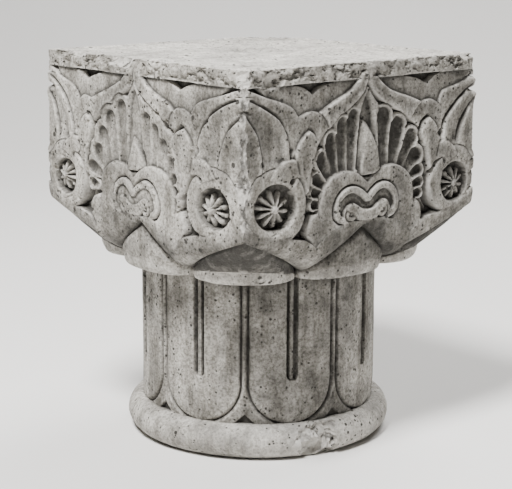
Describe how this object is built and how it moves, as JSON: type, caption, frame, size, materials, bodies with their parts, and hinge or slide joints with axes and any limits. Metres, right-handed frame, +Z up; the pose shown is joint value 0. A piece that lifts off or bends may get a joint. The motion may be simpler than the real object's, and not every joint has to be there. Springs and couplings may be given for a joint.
{
  "type": "column capital",
  "caption": "Carved marble capital: a round strapped foot with a base roll under a square block with fluted shells, split leaves and corner roundels; carries a beam or arch on a column.",
  "frame": {"origin": "middle of the underside, on the surface it stands on", "axes": "+Z up along the column, the carved faces square to X and Y, -Y the face that shows best in the picture"},
  "size_m": [0.26, 0.26, 0.326],
  "materials": {
    "marble": "weathered hand-cut marble, matt, pitted, with chipped arrises"
  },
  "bodies": {
    "root": {"capital": "marble"}
  },
  "joints": []
}
